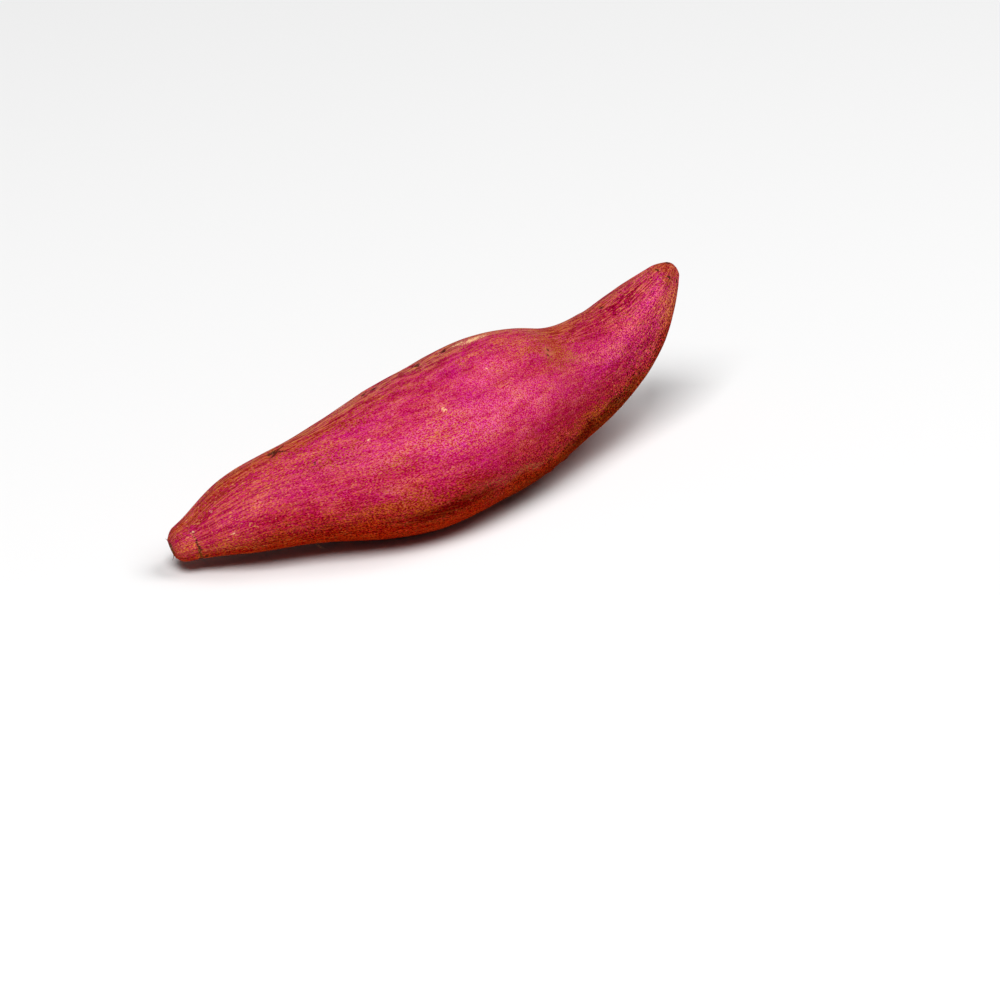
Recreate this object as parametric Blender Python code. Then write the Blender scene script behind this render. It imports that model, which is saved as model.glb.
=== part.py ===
"""One whole sweet potato: a swollen root with a snapped tail and a rounded stem end.

The root lies along X on its belly, tail at -X and stem end at +X. Z is up, and Z = 0 is the
surface that it rests on. Its skin starts as a ball. Each point of the ball is then moved onto
the root: its latitude says how far along the root it goes, its longitude where round it.
"""

import bmesh
import bpy
import numpy as np

NAME = "sweet_potato"
MM = 0.001

# Fineness of the skin: points round the root, rings from end to end, and how much the rings
# crowd together toward the two ends.
AROUND = 56
RINGS = 76
CROWDING = 0.4

# Stations from tail to stem end, in millimetres: the middle line along X, across Y and up Z,
# then half the section's width and half its height.
STATIONS = np.array((
    (-130.5, 18.0, 9.5, 6.5, 6.0),
    (-123.0, 15.5, 12.0, 8.5, 8.0),
    (-106.0, 10.5, 18.0, 16.0, 14.5),
    (-81.0, 2.5, 24.0, 21.0, 19.5),
    (-56.0, -3.5, 27.0, 28.0, 25.0),
    (-31.0, -5.0, 28.5, 33.0, 29.5),
    (-4.0, 0.0, 29.0, 34.5, 30.5),
    (22.0, 4.5, 30.0, 33.5, 30.5),
    (45.0, 8.0, 30.5, 29.0, 27.0),
    (68.0, 10.5, 32.0, 24.0, 22.5),
    (90.0, 13.0, 37.0, 19.0, 18.5),
    (107.0, 15.5, 46.0, 15.0, 14.5),
    (130.0, 20.0, 61.5, 3.5, 3.5),
))
TAIL_ROUND = 5.0  # length over which the snapped tail rounds off
STEM_ROUND = 7.0  # length over which the stem end rounds off

# Waves of the skin: height, waves round the root, turn from end to end and phase.
# Lengths are in millimetres and angles in radians. Angle 0 faces the front, -Y, and a
# quarter turn faces up.
SWELLS = (
    (0.50, 2, 2.2, 1.0),
    (0.40, 3, 4.0, -0.7),
    (0.20, 5, -5.0, 0.4),
    (0.25, 1, 9.0, -1.6),
    (0.20, -2, 16.0, -0.3),
)
FURROWS = (
    (0.20, 7, 3.0, -1.2),
    (0.16, 11, 5.0, 0.4),
    (0.12, 16, -4.0, -1.6),
)
SWELL_FADE = 0.6  # how early the swells fade toward the ends: less is later
FURROW_REACH = 42.0  # how far the furrows run in from each end before they fade
SMOOTH_ENDS = 7.0  # the last stretch of each end, where furrows and crease die out

# The saddle between belly and neck, on top: its place, size and depth. It slants, so its
# place along the root shifts with the angle.
SADDLE_ALONG = 198.0
SADDLE_ANGLE = np.radians(92.0)
SADDLE_LENGTH = 15.0
SADDLE_ARC = 0.75
SADDLE_SLANT = 16.0
SADDLE_DEPTH = 2.6

# The crease across the front of the tail.
CREASE_ALONG = 9.5
CREASE_ANGLE = np.radians(5.0)
CREASE_WIDTH = 1.8
CREASE_ARC = 1.1
CREASE_DEPTH = 0.6

# Eyes, the small scars of side roots: place along the root, angle in degrees, width and depth.
# The last two stand out as bumps.
EYES = (
    (52.0, 96.0, 3.0, 0.8),
    (97.0, 113.0, 2.6, 0.6),
    (124.0, 107.0, 2.8, 0.7),
    (143.0, 107.0, 2.6, 0.6),
    (177.0, 60.0, 3.4, 0.7),
    (78.0, 168.0, 3.0, 0.8),
    (134.0, 192.0, 3.2, 0.9),
    (186.0, 176.0, 3.0, 0.8),
    (226.0, 140.0, 2.8, 0.6),
    (104.0, 232.0, 2.8, 0.7),
    (158.0, 226.0, 3.0, 0.7),
    (214.0, 205.0, 2.8, 0.6),
    (58.0, -34.0, 2.6, 0.5),
    (164.0, -37.0, 2.8, -0.6),
    (175.0, -39.0, 2.6, -0.5),
)
EYE_SLIT = 0.6  # an eye's length along the root, as a share of its width across it
TANGENT_STEP = 0.5  # half the stretch over which the root's direction is read

SKIN_COLOUR = (0.56, 0.045, 0.10, 1.0)
SKIN_ROUGHNESS = 0.55


def smooth_curve(knots, values, at):
    """A natural cubic curve through the values, read at the given places."""
    gaps = np.diff(knots)
    slopes = np.diff(values, axis=0) / gaps[:, None]
    system = np.eye(len(knots))
    pull = np.zeros_like(values)
    for i in range(1, len(knots) - 1):
        system[i, i - 1:i + 2] = gaps[i - 1], 2 * (gaps[i - 1] + gaps[i]), gaps[i]
        pull[i] = 6 * (slopes[i] - slopes[i - 1])
    bend = np.linalg.solve(system, pull)
    span = np.clip(np.searchsorted(knots, at) - 1, 0, len(gaps) - 1)
    before = (at - knots[span])[:, None]
    after = (knots[span + 1] - at)[:, None]
    gap = gaps[span][:, None]
    curved = (bend[span] * after**3 + bend[span + 1] * before**3) / (6 * gap)
    tail_side = (values[span] / gap - bend[span] * gap / 6) * after
    stem_side = (values[span + 1] / gap - bend[span + 1] * gap / 6) * before
    return curved + tail_side + stem_side


def station_places():
    """How far along the root each station lies, and with the last one the root's length."""
    steps = np.linalg.norm(np.diff(STATIONS[:, :3], axis=0), axis=1)
    return np.concatenate(([0.0], np.cumsum(steps)))


def bump(distance, width):
    """A smooth rise of height one that fades over the width."""
    return np.exp(-((distance / width) ** 2))


def turn(angle, middle):
    """The turn from the middle angle, in radians, at most half a circle either way."""
    return np.arctan2(np.sin(angle - middle), np.cos(angle - middle))


def waves(table, share, angle):
    """The sum of a table's waves, at shares of the root's length and angles round it."""
    return sum(
        height * np.cos(rounds * angle + twist * share + phase)
        for height, rounds, twist, phase in table
    )


def saddle(along, angle):
    """The shallow slanting dip where the belly turns into the neck."""
    aside = turn(angle, SADDLE_ANGLE)
    offset = along - SADDLE_ALONG - SADDLE_SLANT * aside
    return -SADDLE_DEPTH * bump(offset, SADDLE_LENGTH) * bump(aside, SADDLE_ARC)


def crease(along, angle):
    """The groove across the front of the tail, near its snapped end."""
    aside = turn(angle, CREASE_ANGLE)
    return -CREASE_DEPTH * bump(along - CREASE_ALONG, CREASE_WIDTH) * bump(aside, CREASE_ARC)


def eyes(along, angle, radius):
    """Small pits across the root where side roots grew, and two low bumps."""
    relief = np.zeros_like(along)
    for place, degrees, width, depth in EYES:
        aside = turn(angle, np.radians(degrees)) * radius
        relief -= depth * bump(along - place, width * EYE_SLIT) * bump(aside, width)
    return relief


def relief(along, angle, radius, length):
    """How far the skin stands out of the plain section at each point, in millimetres."""
    share = along / length
    belly = np.sin(np.pi * np.clip(share, 0, 1)) ** SWELL_FADE
    from_stem = length - along
    ends = np.exp(-along / FURROW_REACH) + np.exp(-from_stem / FURROW_REACH)
    clear = np.clip(along / SMOOTH_ENDS, 0, 1) * np.clip(from_stem / SMOOTH_ENDS, 0, 1)
    fine = ends * waves(FURROWS, share, angle) + crease(along, angle) + eyes(along, angle, radius)
    return belly * waves(SWELLS, share, angle) + saddle(along, angle) + clear * fine


def round_off(distance, depth):
    """The share of full size at a distance from a rounded end."""
    return np.sqrt(1 - (1 - np.clip(distance / depth, 0, 1)) ** 2)


def root_points(along, angle):
    """Points of the skin, in millimetres, at places along the root and angles round it."""
    places = station_places()
    length = places[-1]
    centre = smooth_curve(places, STATIONS[:, :3], along)
    size = smooth_curve(places, STATIONS[:, 3:], along)
    size *= (round_off(along, TAIL_ROUND) * round_off(length - along, STEM_ROUND))[:, None]
    ahead = smooth_curve(places, STATIONS[:, :3], along + TANGENT_STEP)
    ahead -= smooth_curve(places, STATIONS[:, :3], along - TANGENT_STEP)
    ahead /= np.linalg.norm(ahead, axis=1)[:, None]
    front = np.cross(ahead, (0.0, 0.0, 1.0))
    front /= np.linalg.norm(front, axis=1)[:, None]
    top = np.cross(front, ahead)
    lift = relief(along, angle, size.mean(axis=1), length)
    across = (size[:, 0] + lift) * np.cos(angle)
    upward = (size[:, 1] + lift) * np.sin(angle)
    points = centre + front * across[:, None] + top * upward[:, None]
    points[:, 2] = np.maximum(points[:, 2], 0.0)
    return points


def along_root(latitude):
    """Spreads the ball's rings over the root's length, closer together at its ends."""
    share = latitude / np.pi - CROWDING * np.sin(2 * latitude) / (2 * np.pi)
    return share * station_places()[-1]


def skin_material():
    """Crimson skin, half dull."""
    material = bpy.data.materials.new("crimson_skin")
    material.use_nodes = True
    shader = material.node_tree.nodes["Principled BSDF"]
    shader.inputs["Base Color"].default_value = SKIN_COLOUR
    shader.inputs["Roughness"].default_value = SKIN_ROUGHNESS
    shader.inputs["Metallic"].default_value = 0.0
    return material


def root_mesh():
    """A ball with its points moved onto the root: its upper pole becomes the tail."""
    shape = bmesh.new()
    bmesh.ops.create_uvsphere(shape, u_segments=AROUND, v_segments=RINGS, radius=1.0)
    ball = np.array([vertex.co for vertex in shape.verts])
    latitude = np.arccos(np.clip(ball[:, 2], -1, 1))
    longitude = np.arctan2(ball[:, 1], ball[:, 0])
    points = root_points(along_root(latitude), longitude)
    for vertex, point in zip(shape.verts, points):
        vertex.co = point * MM
    mesh = bpy.data.meshes.new(NAME)
    shape.to_mesh(mesh)
    shape.free()
    mesh.shade_smooth()
    return mesh


def main():
    """Clears the scene and adds the root in a collection of its own."""
    for thing in list(bpy.data.objects):
        bpy.data.objects.remove(thing)
    collection = bpy.data.collections.new(NAME)
    bpy.context.scene.collection.children.link(collection)
    root = bpy.data.objects.new(NAME, root_mesh())
    root.data.materials.append(skin_material())
    collection.objects.link(root)


main()
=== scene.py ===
# %% [markdown]
# A sweet potato, one whole root with nothing cut off it. This lesson dresses the plain solid of the
# root with a fine skin: crimson, with a close grain, darker and browner underneath as painted shade,
# wrinkled toward both ends, and marked by the scars of its side roots. The solid stays where it is,
# and the fine skin is laid over the same middle line and the same sections.

import math

import bmesh
import bpy
import numpy as np
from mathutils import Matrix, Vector, noise


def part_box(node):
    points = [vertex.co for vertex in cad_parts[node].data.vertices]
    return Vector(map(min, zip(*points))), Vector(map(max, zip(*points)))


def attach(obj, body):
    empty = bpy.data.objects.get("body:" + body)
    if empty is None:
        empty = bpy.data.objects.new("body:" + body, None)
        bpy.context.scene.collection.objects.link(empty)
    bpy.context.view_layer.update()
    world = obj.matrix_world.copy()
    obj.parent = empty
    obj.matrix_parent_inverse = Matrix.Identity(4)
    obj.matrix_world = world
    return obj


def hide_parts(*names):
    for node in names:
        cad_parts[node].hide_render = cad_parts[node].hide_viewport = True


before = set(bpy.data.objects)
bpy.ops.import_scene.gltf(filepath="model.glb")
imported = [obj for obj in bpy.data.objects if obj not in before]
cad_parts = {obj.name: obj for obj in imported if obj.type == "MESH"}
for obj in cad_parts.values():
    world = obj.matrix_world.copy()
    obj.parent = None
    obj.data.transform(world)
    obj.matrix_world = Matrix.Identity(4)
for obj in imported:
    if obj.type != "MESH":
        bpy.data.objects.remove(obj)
MM = 0.001
SOLID = "sweet_potato"
solid_low, solid_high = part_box(SOLID)
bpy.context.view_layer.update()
print("solid root, millimetres:", [round(x / MM, 1) for x in solid_high - solid_low])

# %% [markdown]
# The camera comes first, because everything else is judged through it. A product shot of food is
# often taken with a long lens from a few steps away, which keeps the near and far ends in
# proportion. So this camera is narrow and stands almost three metres off, a little above the table.
# It could be turned with a Track To constraint, but a point to look at, two angles and a distance
# say the same and are easier to read.

# %% Camera
LENS = 262.2
VIEW_HEADING = math.radians(-39.74)
VIEW_HEIGHT = math.radians(24.01)
VIEW_DISTANCE = 2.903
VIEW_REACH = 20.0
AIM = Vector((0.0126, -0.0112, 0.0))


def toward(heading, height):
    """The direction from the root to something at a heading, 0 being the front, and a height."""
    flat = math.cos(height)
    return Vector((math.sin(heading) * flat, -math.cos(heading) * flat, math.sin(height)))


camera = bpy.data.objects.new("camera", bpy.data.cameras.new("camera"))
camera.data.lens = LENS
camera.data.clip_end = VIEW_REACH
camera.location = AIM + VIEW_DISTANCE * toward(VIEW_HEADING, VIEW_HEIGHT)
camera.rotation_euler = (math.radians(90) - VIEW_HEIGHT, 0.0, VIEW_HEADING)
bpy.context.scene.collection.objects.link(camera)
bpy.context.scene.camera = camera
print("camera stands at", [round(x, 3) for x in camera.location])

# %% [markdown]
# A studio table is a large sheet that runs far past the picture. It has to be pale and even, so that
# nothing competes with the root, and matt, so that it takes a soft shadow and no mirror image. One
# square of mesh does it. It is only a stage.

# %% Table
TABLE_HALF = 4.0
TABLE_GAP = 0.0001
TABLE_COLOUR = (0.86, 0.86, 0.86, 1.0)
TABLE_ROUGHNESS = 0.9


def shader_of(material):
    """The material's own surface shader."""
    return material.node_tree.nodes["Principled BSDF"]


def plain_material(name, colour, roughness):
    """A material of one even colour."""
    material = bpy.data.materials.new(name)
    material.use_nodes = True
    shader_of(material).inputs["Base Color"].default_value = colour
    shader_of(material).inputs["Roughness"].default_value = roughness
    return material


def make_table():
    """A square sheet a hair below the root's lowest point."""
    sheet = bmesh.new()
    bmesh.ops.create_grid(sheet, x_segments=1, y_segments=1, size=TABLE_HALF)
    mesh = bpy.data.meshes.new("table")
    sheet.to_mesh(mesh)
    sheet.free()
    table = bpy.data.objects.new("table", mesh)
    table.location.z = solid_low.z - TABLE_GAP
    mesh.materials.append(plain_material("pale_sheet", TABLE_COLOUR, TABLE_ROUGHNESS))
    bpy.context.scene.collection.objects.link(table)
    return table


table = make_table()
print("table, metres wide:", 2 * TABLE_HALF)

# %% [markdown]
# The light is soft, as from a window with a thin curtain: a broad lamp above and to the left of the
# camera makes the long gentle gleam on the belly, and a weaker one on the right opens the shade. The
# surround is a faint even white that fills what the lamps leave. Large lamps give soft shadows,
# because each point of the table still sees part of the lamp past the root. The Standard view shows
# the colours as they are set, which keeps the crimson strong.

# %% Light
SKY_COLOUR = (1.0, 1.0, 1.0, 1.0)
SKY_STRENGTH = 0.06
LAMPS = (
    # name, heading and height in degrees, distance, size and power
    ("window", -52.0, 58.0, 4.0, 2.15, 150.0),
    ("far_window", 60.0, 58.0, 4.0, 2.45, 80.0),
)


def make_lamp(name, heading, height, distance, size, power):
    """A square soft lamp that faces the root."""
    lamp = bpy.data.objects.new(name, bpy.data.lights.new(name, "AREA"))
    lamp.data.size = size
    lamp.data.energy = power
    where = toward(math.radians(heading), math.radians(height))
    lamp.location = AIM + distance * where
    lamp.rotation_euler = where.to_track_quat("Z", "Y").to_euler()
    bpy.context.scene.collection.objects.link(lamp)


def make_sky():
    """An even pale surround."""
    world = bpy.data.worlds.new("surround")
    world.use_nodes = True
    sky = world.node_tree.nodes["Background"]
    sky.inputs["Color"].default_value = SKY_COLOUR
    sky.inputs["Strength"].default_value = SKY_STRENGTH
    bpy.context.scene.world = world


for lamp_values in LAMPS:
    make_lamp(*lamp_values)
make_sky()
bpy.context.scene.view_settings.view_transform = "Standard"
print("lamps:", len(LAMPS))

# %% [markdown]
# A root is a bent tube whose section swells and shrinks. Its shape is told by stations along its
# middle line, each with a place and a half width and half height. Sculpting would give the same
# shape once, but stations can be read and changed. These are the ones that the solid has, so that the
# fine skin lies where the solid is.

# %% Stations
STATIONS = np.array((
    # along X, across Y and up Z, then half width and half height, in millimetres
    (-130.5, 18.0, 9.5, 6.5, 6.0),
    (-123.0, 15.5, 12.0, 8.5, 8.0),
    (-106.0, 10.5, 18.0, 16.0, 14.5),
    (-81.0, 2.5, 24.0, 21.0, 19.5),
    (-56.0, -3.5, 27.0, 28.0, 25.0),
    (-31.0, -5.0, 28.5, 33.0, 29.5),
    (-4.0, 0.0, 29.0, 34.5, 30.5),
    (22.0, 4.5, 30.0, 33.5, 30.5),
    (45.0, 8.0, 30.5, 29.0, 27.0),
    (68.0, 10.5, 32.0, 24.0, 22.5),
    (90.0, 13.0, 37.0, 19.0, 18.5),
    (107.0, 15.5, 46.0, 15.0, 14.5),
    (130.0, 20.0, 61.5, 3.5, 3.5),
))

station_steps = np.linalg.norm(np.diff(STATIONS[:, :3], axis=0), axis=1)
station_places = np.concatenate(([0.0], np.cumsum(station_steps)))
LENGTH = station_places[-1]
print("length along the middle line, millimetres:", round(LENGTH, 1))

# %% [markdown]
# Between the stations the values follow a natural cubic curve, which passes through every one of
# them and bends as little as it can. Straight lines would leave a corner at each station. Blender's
# own curve objects carry one radius for each point, where this root needs a width and a height.

# %% Smooth curve
def smooth_curve(values, at):
    """A natural cubic curve through the stations' values, read at places along the root."""
    gaps = np.diff(station_places)
    slopes = np.diff(values, axis=0) / gaps[:, None]
    system = np.eye(len(gaps) + 1)
    pull = np.zeros_like(values)
    for i in range(1, len(gaps)):
        system[i, i - 1:i + 2] = gaps[i - 1], 2 * (gaps[i - 1] + gaps[i]), gaps[i]
        pull[i] = 6 * (slopes[i] - slopes[i - 1])
    bend = np.linalg.solve(system, pull)
    span = np.clip(np.searchsorted(station_places, at) - 1, 0, len(gaps) - 1)
    before = (at - station_places[span])[:, None]
    after = (station_places[span + 1] - at)[:, None]
    gap = gaps[span][:, None]
    curved = (bend[span] * after**3 + bend[span + 1] * before**3) / (6 * gap)
    tail_side = (values[span] / gap - bend[span] * gap / 6) * after
    stem_side = (values[span + 1] / gap - bend[span + 1] * gap / 6) * before
    return curved + tail_side + stem_side


halfway = smooth_curve(STATIONS[:, :3], np.array((LENGTH / 2,)))[0]
print("middle of the root, millimetres:", halfway.round(1).tolist())

# %% [markdown]
# No root is smooth. Broad swells run round it, furrows run in from both ends, a slanting saddle
# parts the belly from the neck, a crease crosses the tail, and each side root has left an eye. Each
# of these is a short formula of how far along the root a point is and where round it, which is
# easier to steer than noise alone, because each mark can be put where it is seen. These are the
# solid's own forms, repeated, with a few eyes moved by a step to where they show best.

# %% Swells and furrows
SWELLS = (
    # height, waves round the root, turn from end to end and phase
    (0.50, 2, 2.2, 1.0),
    (0.40, 3, 4.0, -0.7),
    (0.20, 5, -5.0, 0.4),
    (0.25, 1, 9.0, -1.6),
    (0.20, -2, 16.0, -0.3),
)
FURROWS = (
    # the same four values
    (0.20, 7, 3.0, -1.2),
    (0.16, 11, 5.0, 0.4),
    (0.12, 16, -4.0, -1.6),
)
SWELL_FADE = 0.6
FURROW_REACH = 42.0


def bump(distance, width):
    """A smooth rise of height one that fades over the width."""
    return np.exp(-((distance / width) ** 2))


def turn(angle, middle):
    """The turn from the middle angle, in radians, at most half a circle either way."""
    return np.arctan2(np.sin(angle - middle), np.cos(angle - middle))


def waves(table, share, angle):
    """The sum of a table's waves."""
    return sum(
        height * np.cos(rounds * angle + twist * share + phase)
        for height, rounds, twist, phase in table
    )


def end_share(along, reach):
    """One at either end, fading over the reach."""
    return np.exp(-along / reach) + np.exp(-(LENGTH - along) / reach)


print("swells and furrows:", len(SWELLS), len(FURROWS))

# %% [markdown]
# The saddle, the crease and the eyes each have a place of their own. One smooth rise serves them all:
# it is highest at its middle and fades over a width, along the root and round it. The saddle's place
# shifts with the angle, which makes it slant. The eyes are slits across the root.

# %% Saddle, crease and eyes
SADDLE_ALONG = 198.0
SADDLE_ANGLE = math.radians(92.0)
SADDLE_LENGTH = 15.0
SADDLE_ARC = 0.75
SADDLE_SLANT = 16.0
SADDLE_DEPTH = 2.6
CREASE_ALONG = 9.5
CREASE_ANGLE = math.radians(5.0)
CREASE_WIDTH = 1.8
CREASE_ARC = 1.1
CREASE_DEPTH = 0.6
EYES = (
    # place along the root, angle in degrees, width and depth; the last two are bumps
    (49.0, 98.0, 3.0, 0.6),
    (100.5, 116.0, 2.6, 0.75),
    (126.5, 112.0, 2.8, 0.8),
    (142.6, 110.0, 2.6, 0.75),
    (177.0, 60.0, 3.4, 0.5),
    (78.0, 168.0, 3.0, 0.8),
    (134.0, 192.0, 3.2, 0.9),
    (186.0, 176.0, 3.0, 0.8),
    (226.0, 140.0, 2.8, 0.6),
    (104.0, 232.0, 2.8, 0.7),
    (158.0, 226.0, 3.0, 0.7),
    (214.0, 205.0, 2.8, 0.6),
    (58.0, -34.0, 2.6, 0.5),
    (164.0, -37.0, 2.8, -0.6),
    (175.0, -39.0, 2.6, -0.5),
)
EYE_SLIT = 0.6


def saddle(along, angle):
    """Strength of the slanting dip between belly and neck."""
    aside = turn(angle, SADDLE_ANGLE)
    offset = along - SADDLE_ALONG - SADDLE_SLANT * aside
    return bump(offset, SADDLE_LENGTH) * bump(aside, SADDLE_ARC)


def crease(along, angle):
    """Strength of the groove across the tail."""
    return bump(along - CREASE_ALONG, CREASE_WIDTH) * bump(turn(angle, CREASE_ANGLE), CREASE_ARC)


def eyes(along, angle, radius):
    """Depth of the eyes and bumps."""
    depth_there = np.zeros_like(along)
    for place, degrees, width, depth in EYES:
        aside = turn(angle, math.radians(degrees)) * radius
        depth_there += depth * bump(along - place, width * EYE_SLIT) * bump(aside, width)
    return depth_there


print("eyes and bumps:", len(EYES))

# %% [markdown]
# The solid's forms are now summed up. The swells belong to the belly and fade toward the ends, where
# the furrows take over. Right at the tips everything fine dies out, so that the caps stay round.

# %% The solid's forms together
SMOOTH_ENDS = 7.0


def solid_relief(along, angle, radius):
    """How far the solid's own forms stand out, in millimetres."""
    share = along / LENGTH
    belly = np.sin(np.pi * np.clip(share, 0, 1)) ** SWELL_FADE
    clear = np.clip(along / SMOOTH_ENDS, 0, 1) * np.clip((LENGTH - along) / SMOOTH_ENDS, 0, 1)
    fine = end_share(along, FURROW_REACH) * waves(FURROWS, share, angle)
    fine -= CREASE_DEPTH * crease(along, angle) + eyes(along, angle, radius)
    broad = belly * waves(SWELLS, share, angle) - SADDLE_DEPTH * saddle(along, angle)
    return broad + clear * fine


print("deepest of the solid's forms, millimetres:", SADDLE_DEPTH)

# %% [markdown]
# Under a close look the skin also has wrinkles finer than the solid can hold. They run with the
# root, because its fibres do, and they bunch up where the root narrows. A noise that is stretched
# along the length does this: it is read at a point on an imaginary straight cylinder, so that the
# wrinkles follow every bend and close up toward the ends as the real ones do.

# %% Fine wrinkles
STRAND_RADIUS = 20.0
END_WRINKLES = (
    # height in millimetres, stretch along the root, size across it, reach in from the ends, seed
    (0.20, 7.0, 2.1, 34.0, 3.0),
    (0.15, 7.0, 1.1, 55.0, 11.0),
)
BODY_WRINKLES = (
    # height in millimetres, stretch along the root, size across it and seed
    (0.07, 5.0, 2.2, 23.0),
    (0.22, 1.8, 8.0, 37.0),
)


def strand_places(along, angle, radius=STRAND_RADIUS):
    """Places on a straight cylinder, along the root and round it, in millimetres."""
    return np.stack((along, radius * np.cos(angle), radius * np.sin(angle)), axis=1)


def rough(places, stretch, size, seed):
    """Smooth noise between about -1 and 1, with swells of the given size, longer along the root."""
    scaled = places / (stretch * size, size, size) + seed
    return np.array([noise.noise(place) for place in scaled.tolist()])


def wrinkles(along, angle):
    """Height of the wrinkles, in millimetres."""
    strands = strand_places(along, angle)
    total = np.zeros_like(along)
    for height, stretch, size, reach, seed in END_WRINKLES:
        total += height * end_share(along, reach) * rough(strands, stretch, size, seed)
    for height, stretch, size, seed in BODY_WRINKLES:
        total += height * rough(strands, stretch, size, seed)
    return total


print("kinds of wrinkle:", len(END_WRINKLES) + len(BODY_WRINKLES))

# %% [markdown]
# The two ends differ. The tail was snapped off when the root was dug, so it stops in a flat dry scar
# with a ragged lip of torn skin. The stem end tapers to a rounded tip with a small sunken scab where
# the plant grew from it. Both scars are made by pushing the points of the end cap along the root,
# which the plain swelling in and out can't do.

# %% Ends
TAIL_ROUND = 5.0
STEM_ROUND = 7.0
TAIL_RADIUS = 6.5
TAIL_SCAR_DEPTH = 0.8
TAIL_SCAR_SHARE = 0.62
TAIL_SCAR_FLATNESS = 4
STEM_SCAB_DEPTH = 0.45
STEM_SCAB_SHARE = 0.62
STEM_SCAB_FLATNESS = 2
FIBRE_SIZE = 1.1
FIBRE_HEIGHT = 0.35
FIBRE_SEED = 51.0


def cap_share(distance, depth):
    """The share of full size at a distance from a rounded end."""
    return np.sqrt(1 - (1 - np.clip(distance / depth, 0, 1)) ** 2)


def end_push(along, angle):
    """How far the points of the end caps move along the root, in millimetres."""
    tail = cap_share(along, TAIL_ROUND)
    stem = cap_share(LENGTH - along, STEM_ROUND)
    fibres = rough(strand_places(along, angle, TAIL_RADIUS * tail), 1.0, FIBRE_SIZE, FIBRE_SEED)
    scar = np.clip(1 - (tail / TAIL_SCAR_SHARE) ** TAIL_SCAR_FLATNESS, 0, 1)
    scab = np.clip(1 - (stem / STEM_SCAB_SHARE) ** STEM_SCAB_FLATNESS, 0, 1)
    return scar * (TAIL_SCAR_DEPTH + FIBRE_HEIGHT * fibres) - scab * STEM_SCAB_DEPTH


print("scars of the ends, millimetres deep:", TAIL_SCAR_DEPTH, STEM_SCAB_DEPTH)

# %% [markdown]
# Side roots leave small scars, and each has a lip: a low ring of skin that swelled round the thread
# of the root before it dried. A ring is a bump whose distance is counted from a circle. The flakes
# of the scabs, in a row on the lower front and here and there above and behind, are a rough noise
# held inside soft patches. The torn lip of the tail is a ring as well, made ragged by noise.

# %% Lips and scabs
LIP_HEIGHT = 0.16
LIP_SPREAD = 1.7
LIP_WIDTH = 0.45
SCAB_PATCHES = (
    # place along the root, angle in degrees, half length and half arc in degrees, strength
    (119.0, -11.0, 9.0, 3.0, 0.30),
    (134.0, -17.0, 12.0, 3.0, 0.35),
    (146.0, -20.0, 8.0, 3.0, 0.30),
    (190.0, 52.0, 7.0, 8.0, 0.25),
    (177.0, 63.0, 3.0, 6.0, 0.55),
    (90.0, 190.0, 10.0, 6.0, 0.7),
    (196.0, 215.0, 8.0, 6.0, 0.7),
)
SCAB_HEIGHT = 0.18
SCAB_LEVEL = 0.5
SCAB_STRETCH = 2.0
SCAB_GRAIN = 1.3
SCAB_SEED = 71.0
TAIL_LIP_ALONG = 0.9
TAIL_LIP_WIDTH = 0.5
TAIL_LIP_HEIGHT = 0.16
TAIL_LIP_LEVEL = 0.6
TEAR_HEIGHT = 0.8
TEAR_SIZE = 1.4
TEAR_SEED = 83.0


def patches(table, along, angle):
    """Strength of a table's soft patches, added up and held between 0 and 1."""
    total = np.zeros_like(along)
    for place, degrees, half_length, half_arc, strength in table:
        aside = np.degrees(turn(angle, math.radians(degrees)))
        total += strength * bump(along - place, half_length) * bump(aside, half_arc)
    return np.clip(total, 0, 1)


def lips(along, angle, radius):
    """Height of the low rings round the eyes, in millimetres."""
    height_there = np.zeros_like(along)
    for place, degrees, width, depth in EYES:
        aside = turn(angle, math.radians(degrees)) * radius
        off = np.hypot((along - place) / EYE_SLIT, aside) / width
        height_there += LIP_HEIGHT * np.sign(depth) * bump(off - LIP_SPREAD, LIP_WIDTH)
    return height_there


def scabs(along, angle):
    """Height of the scab flakes, in millimetres."""
    flakes = rough(strand_places(along, angle), SCAB_STRETCH, SCAB_GRAIN, SCAB_SEED)
    return SCAB_HEIGHT * patches(SCAB_PATCHES, along, angle) * (SCAB_LEVEL + flakes)


def tail_lip(along, angle):
    """Height of the ragged lip of torn skin round the snapped tail, in millimetres."""
    tears = rough(strand_places(along, angle, TAIL_RADIUS), 1.0, TEAR_SIZE, TEAR_SEED)
    torn = TAIL_LIP_LEVEL + TEAR_HEIGHT * tears
    return TAIL_LIP_HEIGHT * torn * bump(along - TAIL_LIP_ALONG, TAIL_LIP_WIDTH)


print("patches of scab:", len(SCAB_PATCHES))

# %% [markdown]
# Now everything is added up. At each place along the root stands an oval section, square to the
# middle line, and all the relief is laid on it: the solid's forms, the wrinkles, the lips and the
# scabs, which die out short of the two tips. The front shoulder of the stem end is fuller than a
# round cap, so one soft patch fills it out. Points that would come below the table are lifted onto
# it, which gives the root the flat spot that it rests on.

# %% Points of the skin
TANGENT_STEP = 0.5
CLEAR_TAIL = 3.0
CLEAR_STEM = 9.0
OUTLINE_STEPS = 20001
CLOSER_ROWS = 1.4
CLOSER_REACH = 13.0
SHOULDER_HEIGHT = 0.8
# place along the root, angle in degrees, half length and half arc in degrees, strength
SHOULDER = (272.8, -22.0, 1.9, 55.0, 1.0)


def plain_size(along):
    """Half width and half height of the section, in millimetres, rounded off at the ends."""
    ends = cap_share(along, TAIL_ROUND) * cap_share(LENGTH - along, STEM_ROUND)
    return smooth_curve(STATIONS[:, 3:], along) * ends[:, None]


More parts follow.
